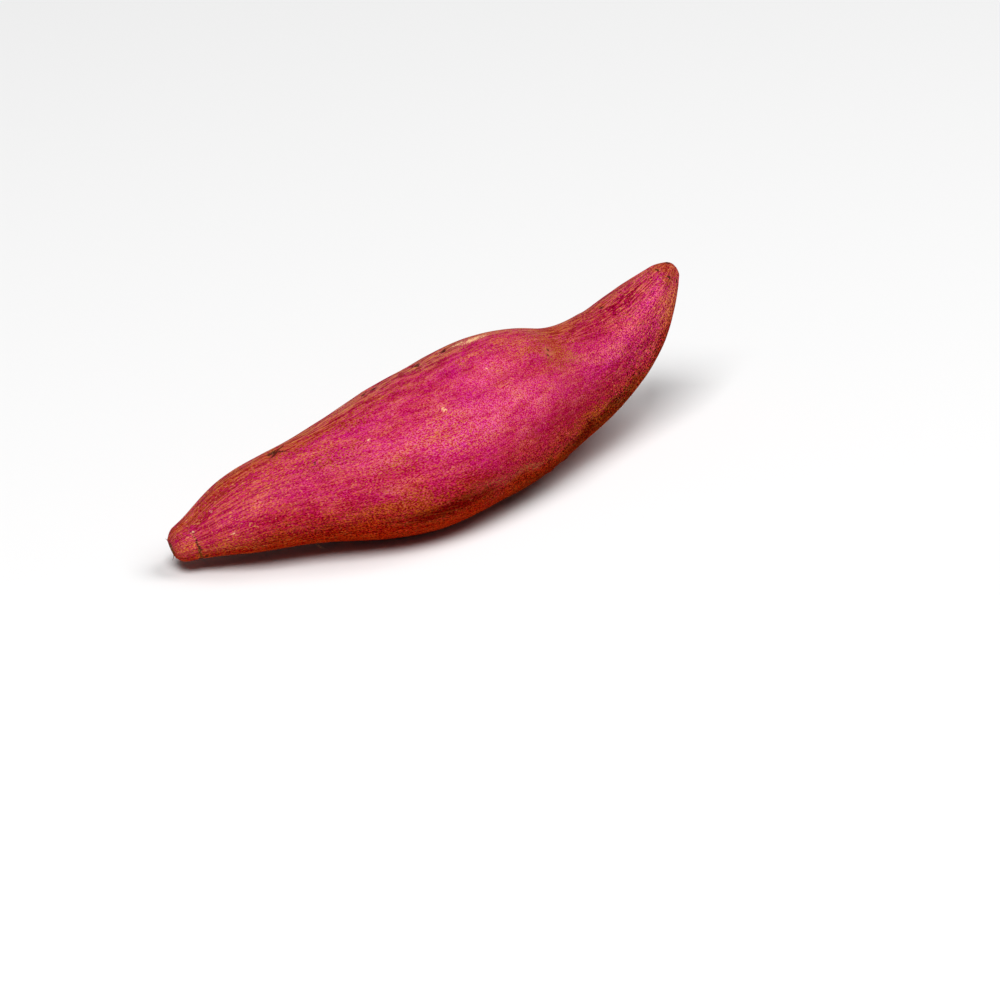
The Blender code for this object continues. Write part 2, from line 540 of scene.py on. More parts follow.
def even_places(share):
    """Places along the root at even steps of its outline, which are closer toward the ends."""
    along = np.linspace(0.0, LENGTH, OUTLINE_STEPS)
    thick = plain_size(along).mean(axis=1)
    steps = np.hypot(np.diff(along), np.diff(thick))
    steps *= 1 + CLOSER_ROWS * end_share(along[1:], CLOSER_REACH)
    outline = np.concatenate(([0.0], np.cumsum(steps)))
    return np.interp(share, outline / outline[-1], along)


def section_axes(along):
    """Directions ahead, to the front and to the top of the root at each place."""
    ahead = smooth_curve(STATIONS[:, :3], along + TANGENT_STEP)
    ahead -= smooth_curve(STATIONS[:, :3], along - TANGENT_STEP)
    ahead /= np.linalg.norm(ahead, axis=1)[:, None]
    front = np.cross(ahead, (0.0, 0.0, 1.0))
    front /= np.linalg.norm(front, axis=1)[:, None]
    return ahead, front, np.cross(front, ahead)


def root_points(along, angle):
    """Points of the skin and the plain radius there, in millimetres."""
    size = plain_size(along)
    radius = size.mean(axis=1)
    ahead, front, top = section_axes(along)
    clear = np.clip(along / CLEAR_TAIL, 0, 1) * np.clip((LENGTH - along) / CLEAR_STEM, 0, 1)
    fine = wrinkles(along, angle) + lips(along, angle, radius) + scabs(along, angle)
    lift = solid_relief(along, angle, radius) + clear * fine + tail_lip(along, angle)
    lift += SHOULDER_HEIGHT * patches((SHOULDER,), along, angle)
    across = (size[:, 0] + lift) * np.cos(angle)
    upward = (size[:, 1] + lift) * np.sin(angle)
    points = smooth_curve(STATIONS[:, :3], along) + ahead * end_push(along, angle)[:, None]
    points += front * across[:, None] + top * upward[:, None]
    points[:, 2] = np.maximum(points[:, 2], 0.0)
    return points, radius


thickest = 2 * max(plain_size(np.linspace(0.0, LENGTH, OUTLINE_STEPS)).max(axis=0))
print("thickest section, millimetres:", round(float(thickest), 1))

# %% [markdown]
# The mesh could be a tube with two caps, but a ball gives closed rows of faces for nothing, so its
# points are moved onto the root: latitude becomes the place along it and longitude the angle round
# it. The rows are set at even steps of the outline, and closer toward the blunt ends, which turn
# most. A helper stores a number or a vector for each point, which is how the finish will know later
# where on the root it is.

# %% Skin mesh
AROUND = 252
RINGS = 390


def keep_attribute(mesh, name, values):
    """Stores one number or one vector for each point of a mesh."""
    kind, field = ("FLOAT", "value") if values.ndim == 1 else ("FLOAT_VECTOR", "vector")
    attribute = mesh.attributes.new(name, kind, "POINT")
    attribute.data.foreach_set(field, values.astype(np.float32).ravel())


def make_skin_mesh():
    """A fine ball with its points moved onto the root, and each point's place along and round it."""
    shape = bmesh.new()
    bmesh.ops.create_uvsphere(shape, u_segments=AROUND, v_segments=RINGS, radius=1.0)
    mesh = bpy.data.meshes.new("root_skin")
    ball = np.array([vertex.co for vertex in shape.verts])
    shape.to_mesh(mesh)
    shape.free()
    latitude = np.arccos(np.clip(ball[:, 2], -1, 1))
    angle = np.arctan2(ball[:, 1], ball[:, 0])
    along = even_places(latitude / np.pi)
    points, radius = root_points(along, angle)
    mesh.vertices.foreach_set("co", (points * MM).astype(np.float32).ravel())
    mesh.update()
    mesh.shade_smooth()
    return mesh, along, angle, radius


skin_mesh, skin_along, skin_angle, skin_radius = make_skin_mesh()
print("skin triangles:", sum(len(face.vertices) - 2 for face in skin_mesh.polygons))

# %% [markdown]
# Where the colour changes is a matter of place: the upper edge and the hollow behind the neck are
# rusty brown, broad magenta bands run along the front, paler stretches down the belly are a painted
# highlight, salmon lies where the cork is thin and worn, dark patches of painted shade lie on the
# lower side, the lower edge is flecked and darkened by painted shade, and a dry dust lies on the
# crest, lighter there as a painted sheen. Each is a list of soft patches again, and the guessed ones
# of the back stand in the same lists. An image could be painted on instead, but a list can be
# corrected one patch at a time.

# %% Patches of colour
MASK_PATCHES = {
    # place along the root, angle in degrees, half length and half arc in degrees, strength
    "magenta": (
        (80.0, 72.0, 24.0, 12.0, 0.7),
        (128.0, 56.0, 26.0, 10.0, 0.8),
        (130.0, 88.0, 20.0, 8.0, 0.9),
        (112.0, 12.0, 30.0, 10.0, 0.7),
        (210.0, 36.0, 24.0, 12.0, 1.0),
        (212.0, 12.0, 26.0, 9.0, 0.6),
        (252.0, 54.0, 16.0, 14.0, 1.0),
        (264.0, 60.0, 6.0, 12.0, 0.7),
        (50.0, 36.0, 26.0, 14.0, 0.5),
        (100.0, 160.0, 26.0, 16.0, 0.8),
        (186.0, 162.0, 26.0, 14.0, 0.8),
        (140.0, 206.0, 30.0, 12.0, 0.6),
    ),
    "deep": (
        (212.0, 74.0, 19.0, 13.0, 1.0),
        (238.0, 82.0, 14.0, 13.0, 1.0),
        (206.0, 8.0, 28.0, 16.0, 1.0),
        (98.0, -18.0, 15.0, 7.0, 0.9),
        (112.0, -4.0, 15.0, 9.0, 0.9),
        (213.0, 24.0, 12.0, 7.0, 0.45),
        (160.0, 8.0, 22.0, 10.0, 0.8),
        (42.0, 4.0, 14.0, 9.0, 0.6),
        (180.0, -4.0, 18.0, 8.0, 0.6),
        (132.0, 100.0, 18.0, 5.0, 0.7),
        (60.0, 150.0, 22.0, 14.0, 0.6),
        (150.0, 176.0, 22.0, 12.0, 0.5),
    ),
    # pale: a painted highlight along the belly, with copies of it on the back
    "pale": (
        (128.0, 38.0, 46.0, 17.0, 1.0),
        (232.0, 43.0, 28.0, 9.0, 0.6),
        (78.0, 46.0, 16.0, 13.0, 0.25),
        (256.0, 52.0, 9.0, 12.0, 0.5),
        (20.0, 36.0, 8.0, 14.0, 0.35),
        (37.0, 36.0, 3.5, 8.0, 0.7),
        (138.0, 70.0, 22.0, 8.0, 0.9),
        (120.0, 150.0, 24.0, 14.0, 0.4),
    ),
    "salmon": (
        (4.5, 13.0, 5.5, 19.0, 1.0),
        (37.5, 36.0, 7.0, 9.0, 0.7),
        (64.0, 70.0, 10.0, 7.0, 0.45),
        (38.0, 62.0, 11.0, 14.0, 0.5),
        (163.0, 84.0, 10.0, 6.0, 0.6),
        (106.0, 40.0, 9.0, 12.0, 0.45),
        (170.0, 74.0, 9.0, 9.0, 0.7),
        (229.0, 64.0, 13.0, 6.0, 0.6),
        (256.0, 0.0, 12.0, 26.0, 1.0),
        (22.0, -4.0, 9.0, 9.0, 0.6),
        (142.0, 84.0, 9.0, 4.0, 0.7),
        (120.0, 28.0, 10.0, 5.0, 0.4),
        (70.0, 138.0, 14.0, 10.0, 0.6),
        (166.0, 160.0, 12.0, 9.0, 0.6),
        (240.0, 170.0, 12.0, 12.0, 0.6),
    ),
    # painted shade: dark patches along the lower front edge and underneath
    "shade_patches": (
        (102.0, -22.0, 20.0, 9.0, 1.0),
        (156.0, -42.0, 20.0, 14.0, 0.7),
        (184.0, -26.0, 15.0, 16.0, 1.0),
        (196.0, -20.0, 20.0, 8.0, 0.3),
        (208.0, -22.0, 17.0, 13.0, 1.0),
        (150.0, -90.0, 80.0, 34.0, 0.4),
    ),
    "rust": (
        (24.0, 86.0, 26.0, 22.0, 0.7),
        (274.0, 60.0, 6.5, 200.0, 1.0),
        (268.0, 78.0, 6.0, 34.0, 0.5),
        (88.0, -6.0, 14.0, 8.0, 0.75),
        (188.0, -7.0, 13.0, 8.0, 0.85),
        (52.0, 104.0, 30.0, 18.0, 0.8),
        (66.0, 88.0, 18.0, 9.0, 0.6),
        (100.0, 92.0, 12.0, 6.0, 0.5),
        (5.0, 80.0, 8.0, 24.0, 0.6),
        (5.0, -36.0, 7.0, 22.0, 0.6),
        (184.0, 64.0, 12.0, 20.0, 1.0),
        (64.0, 56.0, 13.0, 10.0, 0.55),
        (86.0, 24.0, 14.0, 8.0, 0.35),
        (267.0, 36.0, 6.0, 12.0, 0.8),
        (200.0, 92.0, 20.0, 14.0, 0.9),
        (222.0, 104.0, 26.0, 12.0, 0.7),
        (72.0, -12.0, 20.0, 12.0, 0.5),
        (60.0, 232.0, 34.0, 26.0, 0.6),
        (128.0, 184.0, 30.0, 18.0, 0.5),
        (170.0, 236.0, 40.0, 22.0, 0.6),
        (226.0, 190.0, 24.0, 26.0, 0.5),
        (20.0, 186.0, 20.0, 30.0, 0.6),
    ),
    "flecked": (
        (144.0, -50.0, 26.0, 26.0, 1.3),
        (184.0, -38.0, 34.0, 30.0, 1.4),
        (232.0, -28.0, 32.0, 34.0, 1.3),
    ),
    # dust on the crest, lighter there as a painted sheen along the top edge
    "dust_and_sheen": (
        (44.0, 113.0, 30.0, 10.0, 0.7),
        (96.0, 112.0, 40.0, 9.0, 0.8),
        (150.0, 108.0, 34.0, 9.0, 0.8),
        (190.0, 112.0, 26.0, 12.0, 0.6),
        (185.0, 88.0, 9.0, 10.0, 0.8),
        (260.0, 98.0, 11.0, 16.0, 0.45),
        (230.0, 112.0, 24.0, 10.0, 0.6),
        (260.0, -12.0, 9.0, 22.0, 0.35),
        (22.0, -16.0, 12.0, 16.0, 0.4),
        (90.0, 206.0, 30.0, 14.0, 0.45),
        (200.0, 150.0, 20.0, 10.0, 0.35),
    ),
}
print("patches of colour:", {name: len(table) for name, table in MASK_PATCHES.items()})

# %% [markdown]
# Small marks come next: the dark bottoms of the eyes, short dark strokes where the skin has cracked
# or was nicked, and pale scrapes where it was rubbed through to the flesh. They are few and each has
# its own place and slant, so they are listed one by one and not strewn.

# %% Strokes and scrapes
FAINT_EYE = 0.5
EYE_STEP = 0.3
EYE_SHADE = 0.75
STROKE_STRENGTH = 2.2
DARK_STROKES = (
    # place along the root, angle in degrees, half length and half width in millimetres, and slant
    (266.2, 82.0, 0.5, 0.8, 0.0),
    (265.8, 40.0, 0.6, 0.8, 0.0),
    (268.1, -1.0, 0.8, 0.5, 0.0),
    (272.9, 82.0, 0.6, 0.8, 0.0),
    (270.0, 150.0, 0.7, 0.8, 0.0),
    (267.0, 215.0, 0.6, 0.9, 0.0),
    (233.0, 95.0, 1.0, 0.6, 0.0),
    (60.5, 57.0, 0.5, 0.5, 0.0),
    (51.5, 98.0, 3.0, 0.55, 0.7),
    (51.8, 95.0, 2.4, 0.55, -0.9),
    (49.5, 102.0, 1.6, 0.6, 0.1),
    (126.5, 111.0, 2.4, 1.1, 0.1),
    (142.6, 109.5, 1.6, 0.9, 0.1),
    (100.0, 114.5, 2.2, 1.1, -0.2),
    (94.5, 112.0, 1.2, 0.7, 0.2),
    (176.0, 60.0, 0.6, 0.6, 0.0),
    (178.6, 65.0, 0.5, 0.7, 0.0),
    (9.6, -56.0, 0.8, 1.3, 0.0),
    (11.2, -38.0, 0.5, 0.9, 0.4),
)
SCRAPES = (
    # place along the root, angle in degrees, half length and half arc in degrees, strength
    (155.5, 101.0, 5.5, 2.6, 1.0),
    (150.0, 106.0, 4.0, 2.0, 0.7),
    (121.8, 124.0, 2.6, 4.0, 1.0),
    (84.0, 118.0, 3.0, 2.5, 0.5),
    (109.6, 58.0, 0.7, 1.1, 0.9),
    (142.6, 70.0, 0.5, 0.9, 0.9),
    (80.9, 60.0, 0.5, 1.2, 0.7),
    (19.5, 64.0, 0.6, 3.2, 0.7),
    (23.0, 10.0, 0.9, 2.4, 0.6),
    (10.0, 48.0, 0.9, 3.0, 0.7),
    (92.0, 176.0, 4.0, 2.4, 0.8),
    (170.0, 148.0, 3.0, 2.0, 0.7),
)


def dark_marks(along, angle, radius):
    """The dark bottoms of the eyes, and the small dark strokes of cracks and scars."""
    total = np.zeros_like(along)
    for place, degrees, width, depth in EYES:
        aside = turn(angle, math.radians(degrees)) * radius
        off = np.hypot((along - place) / EYE_SLIT, aside) / width
        total += np.clip((depth - FAINT_EYE) / EYE_STEP, 0, 1) * bump(off, EYE_SHADE)
    for place, degrees, half_length, half_width, slant in DARK_STROKES:
        ahead = along - place
        aside = turn(angle, math.radians(degrees)) * radius - slant * ahead
        total += STROKE_STRENGTH * bump(ahead, half_length) * bump(aside, half_width)
    return np.clip(total, 0, 1)


print("strokes and scrapes:", len(DARK_STROKES), len(SCRAPES))

# %% [markdown]
# Some differences depend on the place alone and need no list. The listed patches are nudged by a slow
# noise, so that none ends in a tidy oval. The underside is a share that fades up both sides; it
# carries the painted shade underneath, and a wider one carries a painted warm bounce light on the
# lower half.
# The tail and the neck are shares that end where the belly begins, and the flanks, which were rubbed
# least, have kept their wax.

# %% Shares of the root
NUDGE_LENGTH = 5.0
NUDGE_ARC = 0.16
NUDGE_STRETCH = 1.6
NUDGE_SIZES = (9.0, 7.0)
NUDGE_SEEDS = (5.0, 17.0)
UNDER_MIDDLE = math.radians(-92.0)
UNDER_HALF_ARC = 81.0
UNDER_FADE = 17.0
BOUNCE_HALF_ARC = 98.0
BOUNCE_FADE = 14.0
TAIL_LIGHTER = 0.35
STEM_LIGHTER = 0.75
LIGHTER_REACH = 17.0
TAIL_TAPER = 80.0
STEM_TAPER = 180.0
TAPER_FADE = 50.0
WAXY_FLANKS = (42.0, 150.0)
WAXY_HALF_ARC = 33.0


def nudged(along, angle):
    """The same places, moved a little by slow noise."""
    strands = strand_places(along, angle)
    ahead, aside = (
        rough(strands, NUDGE_STRETCH, size, seed) for size, seed in zip(NUDGE_SIZES, NUDGE_SEEDS)
    )
    return along + NUDGE_LENGTH * ahead, angle + NUDGE_ARC * aside


def under_share(along, angle, half_arc, fade):
    """One under the root, fading to nothing up its sides, and less at both ends."""
    aside = np.degrees(np.abs(turn(angle, UNDER_MIDDLE)))
    share = 0.5 + 0.5 * np.tanh((half_arc - aside) / fade)
    tail = TAIL_LIGHTER * np.exp(-along / LIGHTER_REACH)
    stem = STEM_LIGHTER * np.exp((along - LENGTH) / LIGHTER_REACH)
    return np.clip(share * (1 - tail - stem), 0, 1)


def taper_shares(along):
    """One on the tail and one on the neck, each falling to nothing where the belly begins."""
    tail = np.clip((TAIL_TAPER - along) / TAPER_FADE, 0, 1)
    return tail, np.clip((along - STEM_TAPER) / TAPER_FADE, 0, 1)


def waxy_share(angle):
    """One on the two flanks, which keep their wax, and little on the crest and underneath."""
    asides = [np.degrees(turn(angle, math.radians(middle))) for middle in WAXY_FLANKS]
    return np.clip(sum(bump(aside, WAXY_HALF_ARC) for aside in asides), 0, 1)


print("tapers, millimetres from the tail:", TAIL_TAPER, STEM_TAPER)

# %% [markdown]
# The skin's cells were stretched where the root grew long and thin. So their pattern isn't read at
# the plain place but at one that runs slower toward both ends, which draws the cells out, and a
# little wider round, which makes them narrower.

# %% Places for the cells
CELL_STRETCH = 1.1
CELL_NARROWING = 0.2
CELL_STRETCH_REACH = 60.0
PLACE_STEPS = 2001


def cell_places(along, angle, radius):
    """Places for the cells of the skin, which are drawn out along the root toward its ends."""
    steps = np.linspace(0.0, LENGTH, PLACE_STEPS)
    stretch = 1 + CELL_STRETCH * end_share(steps, CELL_STRETCH_REACH)
    drawn_out = np.concatenate(([0.0], np.cumsum(np.diff(steps) / stretch[1:])))
    narrow = 1 + CELL_NARROWING * end_share(along, CELL_STRETCH_REACH)
    return strand_places(np.interp(along, steps, drawn_out), angle, radius * narrow)


print("cells drawn out at the tips:", 1 + CELL_STRETCH)

# %% [markdown]
# All masks are stored on the points of the skin, one number each, and the places as vectors. Strokes
# and scrapes stay where they were put, and the streaks add up from both ends, the crest and a few
# patches. A colour attribute could hold a mask as well, but it carries four numbers where one is
# enough.

# %% Masks on the skin
END_FIBRES = 0.6
END_FIBRE_REACH = 45.0
CREST = math.radians(112.0)
CREST_HALF_ARC = 26.0
CREST_FIBRES = 0.5
FIBRE_PATCHES = (
    # place along the root, angle in degrees, half length and half arc in degrees, strength
    (246.0, 78.0, 16.0, 14.0, 0.8),
    (22.0, 62.0, 18.0, 24.0, 0.30),
    (66.0, 100.0, 20.0, 10.0, 0.6),
    (124.0, 108.0, 26.0, 6.0, 0.6),
    (200.0, 84.0, 14.0, 14.0, 0.5),
)
LINE_MIDDLE = math.radians(-12.0)
LINE_ARC = 0.8
LINE_STRENGTH = 1.8


def store_masks(mesh, along, angle, radius):
    """Works the masks out and keeps them on the mesh."""
    moved = nudged(along, angle)
    masks = {name: patches(table, *moved) for name, table in MASK_PATCHES.items()}
    # painted shade on the underside
    masks["under"] = under_share(*moved, UNDER_HALF_ARC, UNDER_FADE)
    # painted warm bounce light on the lower half
    masks["painted_bounce"] = under_share(*moved, BOUNCE_HALF_ARC, BOUNCE_FADE)
    masks["waxy"] = waxy_share(angle)
    masks["tail"], masks["neck"] = taper_shares(along)
    masks["tapers"] = masks["tail"] + masks["neck"]
    crest = bump(np.degrees(turn(angle, CREST)), CREST_HALF_ARC)
    fibres = END_FIBRES * end_share(along, END_FIBRE_REACH) + CREST_FIBRES * crest
    masks["streaks"] = np.clip(fibres + patches(FIBRE_PATCHES, *moved), 0, 1)
    masks["crease"] = np.clip(LINE_STRENGTH * bump(turn(angle, LINE_MIDDLE), LINE_ARC), 0, 1)
    masks["dark_marks"] = dark_marks(along, angle, radius)
    masks["scabs"] = patches(SCAB_PATCHES, *moved)
    masks["scrapes"] = patches(SCRAPES, along, angle)
    for name, values in masks.items():
        keep_attribute(mesh, name, values)
    keep_attribute(mesh, "cell_place", cell_places(along, angle, radius))
    keep_attribute(mesh, "grain_place", strand_places(along, angle, radius))
    keep_attribute(mesh, "strand_place", strand_places(along, angle))
    return masks


masks = store_masks(skin_mesh, skin_along, skin_angle, skin_radius)
print("masks kept:", {name: round(float(values.mean()), 2) for name, values in masks.items()})

# %% [markdown]
# Materials are built from small boxes, called nodes, that are wired together. A few short helpers
# keep that readable: one adds a box and fills its inputs with numbers or with the outputs of earlier
# boxes, and the others do a sum, mix two numbers or two colours, or fetch a mask from the mesh. A
# pattern that is used again and again, such as noise drawn out along the root, becomes a node group,
# which is one box with its own named inputs.

# %% Helpers for nodes
def put(tree, kind, inputs=(), **settings):
    """Adds a node to a tree, with its settings and its inputs as (name or number, value) pairs."""
    node = tree.nodes.new(kind)
    for name, value in settings.items():
        setattr(node, name, value)
    for name, value in inputs:
        if isinstance(value, bpy.types.NodeSocket):
            tree.links.new(value, node.inputs[name])
        else:
            node.inputs[name].default_value = value
    return node


def maths(tree, operation, *values, clamp=False):
    """One sum on numbers or sockets."""
    node = put(tree, "ShaderNodeMath", enumerate(values), operation=operation, use_clamp=clamp)
    return node.outputs[0]


def times(tree, first, second):
    """The product of two numbers."""
    return maths(tree, "MULTIPLY", first, second)


def mixed(tree, share, first, second, blend_type="MIX"):
    """The mix of two colours by a share from 0 to 1."""
    pairs = (("Factor", share), (6, first), (7, second))
    node = put(tree, "ShaderNodeMix", pairs, data_type="RGBA", blend_type=blend_type)
    return node.outputs[2]


def tinted(tree, colour, share, tint):
    """The colour multiplied by a tint, by a share."""
    return mixed(tree, share, colour, tint, blend_type="MULTIPLY")


def mix_numbers(tree, share, first, second):
    """The mix of two numbers by a share from 0 to 1."""
    node = put(tree, "ShaderNodeMix", (("Factor", share), (2, first), (3, second)))
    return node.outputs[0]


def kept(tree, name, vector=False):
    """An attribute that was kept on the mesh."""
    node = put(tree, "ShaderNodeAttribute", attribute_name=name)
    return node.outputs["Vector" if vector else "Fac"]


def new_group(name, inputs, outputs):
    """An empty node group with named sockets, and its inner input and output nodes."""
    group = bpy.data.node_groups.new(name, "ShaderNodeTree")
    for socket_name, kind, value in inputs:
        socket = group.interface.new_socket(socket_name, in_out="INPUT", socket_type=kind)
        if value is not None:
            socket.default_value = value
    for socket_name, kind in outputs:
        group.interface.new_socket(socket_name, in_out="OUTPUT", socket_type=kind)
    return group, put(group, "NodeGroupInput"), put(group, "NodeGroupOutput")


print("helpers for nodes are ready")

# %% [markdown]
# The first group is the noise drawn out along the root. It divides the place by a length and a
# width, so that one swell of the noise has that size in millimetres, and then stretches the middle
# of its range, because plain noise rarely leaves the middle. The second group turns a soft mask into
# a speckled one: the grain decides point by point which side of the edge a point falls on, as the
# cork cells of the real skin do.

# %% Node groups
NOISE_REST = 0.5
MASK_EDGE = 0.5
MASK_START = 4.0


def make_drawn_noise():
    """The group for noise of a set length and width, spread from 0 to 1."""
    inputs = (
        ("Place", "NodeSocketVector", None),
        ("Length", "NodeSocketFloat", 1.0),
        ("Width", "NodeSocketFloat", 1.0),
        ("Seed", "NodeSocketFloat", 0.0),
        ("Detail", "NodeSocketFloat", 2.0),
        ("Spread", "NodeSocketFloat", 2.0),
    )
    group, given, result = new_group("drawn_noise", inputs, (("Value", "NodeSocketFloat"),))
    length, width = given.outputs["Length"], given.outputs["Width"]
    size = put(group, "ShaderNodeCombineXYZ", ((0, length), (1, width), (2, width)))
    pairs = ((0, given.outputs["Place"]), (1, size.outputs[0]))
    scaled = put(group, "ShaderNodeVectorMath", pairs, operation="DIVIDE")
    pairs = ((0, scaled.outputs[0]), (1, given.outputs["Seed"]))
    moved = put(group, "ShaderNodeVectorMath", pairs, operation="ADD")
    pairs = (("Vector", moved.outputs[0]), ("Scale", 1.0), ("Detail", given.outputs["Detail"]))
    swells = put(group, "ShaderNodeTexNoise", pairs)
    away = maths(group, "SUBTRACT", swells.outputs["Fac"], NOISE_REST)
    spread = maths(group, "MULTIPLY_ADD", away, given.outputs["Spread"], NOISE_REST)
    held = maths(group, "MAXIMUM", maths(group, "MINIMUM", spread, 1.0), 0.0)
    group.links.new(held, result.inputs["Value"])
    return group


def make_speckled_edge():
    """The group that breaks a soft mask up by a grain."""
    inputs = (
        ("Mask", "NodeSocketFloat", 0.0),
        ("Grain", "NodeSocketFloat", 0.5),
        ("Ragged", "NodeSocketFloat", 1.0),
        ("Sharp", "NodeSocketFloat", 3.0),
    )
    group, given, result = new_group("speckled_edge", inputs, (("Share", "NodeSocketFloat"),))
    shift = maths(group, "SUBTRACT", given.outputs["Grain"], NOISE_REST)
    ragged = maths(group, "MULTIPLY_ADD", shift, given.outputs["Ragged"], given.outputs["Mask"])
    away = maths(group, "SUBTRACT", ragged, MASK_EDGE)
    share = maths(group, "MULTIPLY_ADD", away, given.outputs["Sharp"], MASK_EDGE, clamp=True)
    present = maths(group, "MULTIPLY", given.outputs["Mask"], MASK_START, clamp=True)
    group.links.new(maths(group, "MULTIPLY", share, present), result.inputs["Share"])
    return group


DRAWN_NOISE = make_drawn_noise()
SPECKLED_EDGE = make_speckled_edge()


def placed(tree, group, **values):
    """One use of a group in a material, with its inputs by name. Gives back its output."""
    return put(tree, "ShaderNodeGroup", values.items(), node_tree=group).outputs[0]


def drawn(tree, place, length, width, seed, spread, detail=2.0):
    """One use of the drawn-out noise."""
    return placed(
        tree, DRAWN_NOISE, Place=place, Length=length, Width=width,
        Seed=seed, Spread=spread, Detail=detail,
    )


print("node groups:", [group.name for group in bpy.data.node_groups])

# %% [markdown]
# The colour of the skin comes in layers. Underneath is a crimson, and each patch is laid over it by
# its mask, broken up by the grain of the cork. Magenta bands and paler stretches, a painted highlight
# along the belly, come first. Then come salmon clouds and dark smears, which no list steers, and last
# the salmon, the deep crimson, the painted shade of the underside and its darker patches of painted
# shade, the rust, and the dust, which is also a painted sheen. One ramp of colours could do all of it,
# but then no patch could be moved on its own. Every pattern is noise on the imaginary straight
# cylinder, so it turns with the root and shows the same from each side.

# %% Layers of patches
CRIMSON = (0.460, 0.011, 0.055, 1.0)
UPPER_PATCHES = (
    # mask, colour, how ragged and how sharp its edge is, and its strength
    ("magenta", (0.510, 0.006, 0.120, 1.0), 0.7, 1.4, 0.90),
    # a painted highlight along the belly
    ("pale", (0.700, 0.048, 0.166, 1.0), 0.6, 1.2, 0.85),
)
LOWER_PATCHES = (
    # the same five values
    ("salmon", (0.590, 0.074, 0.062, 1.0), 0.8, 1.4, 0.80),
    ("deep", (0.350, 0.001, 0.034, 1.0), 0.7, 1.4, 0.95),
    # painted shade: a dark red-brown over the underside
    ("under", (0.270, 0.005, 0.001, 1.0), 0.35, 1.5, 1.00),
    # painted shade, darker still, in patches
    ("shade_patches", (0.130, 0.001, 0.0005, 1.0), 0.5, 1.5, 1.00),
    ("rust", (0.390, 0.034, 0.015, 1.0), 0.9, 1.5, 0.92),
    # dust, also a painted sheen along the top edge
    ("dust_and_sheen", (0.470, 0.088, 0.074, 1.0), 0.9, 1.6, 0.88),
)
# length, width, seed and spread of a noise
BANDS = (34.0, 8.0, 3.0, 2.2)
SMEARS = (11.0, 3.2, 91.0, 3.0)
# level where an edge begins, and its steepness
CLOUD_EDGE = (0.56, 2.4)
SMEAR_EDGE = (0.44, 2.4)
BAND_SHARE = 0.5
CLOUD_SALMON = (0.600, 0.068, 0.096, 1.0)
CLOUD_SHARE = 0.40
CLOUD_TAPER = 0.75
SMEAR_TINT = (0.82, 0.42, 0.60, 1.0)
SMEAR_SHARE = 0.85


def above(tree, value, level, steepness):
    """Rises from 0 to 1 where a value passes a level."""
    return maths(tree, "MULTIPLY", maths(tree, "SUBTRACT", value, level), steepness, clamp=True)


def below(tree, value, level, steepness):
    """Rises from 0 to 1 where a value drops under a level."""
    return maths(tree, "MULTIPLY", maths(tree, "SUBTRACT", level, value), steepness, clamp=True)


def lay_patches(tree, table, colour, cork):
    """The colour with a table's patches laid over it, broken up by the cork."""
    for name, tint, ragged, sharp, strength in table:
        share = placed(
            tree, SPECKLED_EDGE, Mask=kept(tree, name), Grain=cork, Ragged=ragged, Sharp=sharp
        )
        colour = mixed(tree, times(tree, share, strength), colour, tint)
    return colour


def cloud_layer(tree, colour, grain_place, cover):
    """Salmon clouds where the cork is thick, and darker smears, longer along the root."""
    even = maths(
        tree, "MULTIPLY_ADD", kept(tree, "tapers"), -CLOUD_SHARE * CLOUD_TAPER, CLOUD_SHARE
    )
    salmon = times(tree, above(tree, cover, *CLOUD_EDGE), even)
    colour = mixed(tree, salmon, colour, CLOUD_SALMON)
    smears = drawn(tree, grain_place, *SMEARS)
    dark = times(tree, below(tree, smears, *SMEAR_EDGE), SMEAR_SHARE)
    return tinted(tree, colour, dark, SMEAR_TINT)


def patch_layers(tree, grain_place, cork, cover):
    """Crimson with every patch laid over it."""
    bands = times(tree, drawn(tree, grain_place, *BANDS), BAND_SHARE)
    magenta = UPPER_PATCHES[0][1]
    colour = mixed(tree, bands, CRIMSON, magenta)
    colour = lay_patches(tree, UPPER_PATCHES, colour, cork)
    colour = cloud_layer(tree, colour, grain_place, cover)
    return lay_patches(tree, LOWER_PATCHES, colour, cork)


print("layers:", [row[0] for row in UPPER_PATCHES + LOWER_PATCHES])

# %% [markdown]
# A few things are sharper than the mesh can tell, so they are drawn by the nodes from the place
# itself: the thin dark line at the bottom of the crease, the dry scar of the snapped end with its dark
# rim, and the dark scab of the stem end. The line is where the place along the root, plus a little
# noise, comes near the crease's own place. A scar is where it falls short of a set place.

# %% Crease and end scars
SCAR_BROWN = (0.050, 0.012, 0.006, 1.0)
DRY_END = (0.260, 0.100, 0.045, 1.0)
# length, width, seed and spread of a noise
END_WOBBLE = (2.5, 3.0, 61.0, 2.0)
LINE_HALF_WIDTH = 0.6
LINE_WOBBLE = 1.6
LINE_DARKNESS = 1.6
LINE_SHARE = 0.92
END_SCAR_PLACE = 0.35
END_SCAR_WOBBLE = 0.7
END_SCAR_SHARPNESS = 3.0
END_RIM = 0.4
END_RIM_SHARE = 0.85
DRY_LEAST = 0.3
DRY_IN_CELLS = 0.8
STEM_SPOT_PLACE = 0.7
STEM_SPOT_SHARPNESS = 2.0
STEM_SPOT_SHARE = 0.75


def crease_line(tree, along, wobble):
    """The thin line at the bottom of the crease."""
    shifted = maths(tree, "MULTIPLY_ADD", wobble, LINE_WOBBLE, along)
    middle = CREASE_ALONG + LINE_WOBBLE / 2
    offset = maths(tree, "ABSOLUTE", maths(tree, "SUBTRACT", shifted, middle))
    near = times(tree, below(tree, offset, LINE_HALF_WIDTH, 1.0 / LINE_HALF_WIDTH), LINE_DARKNESS)
    return maths(tree, "MULTIPLY", near, kept(tree, "crease"), clamp=True)


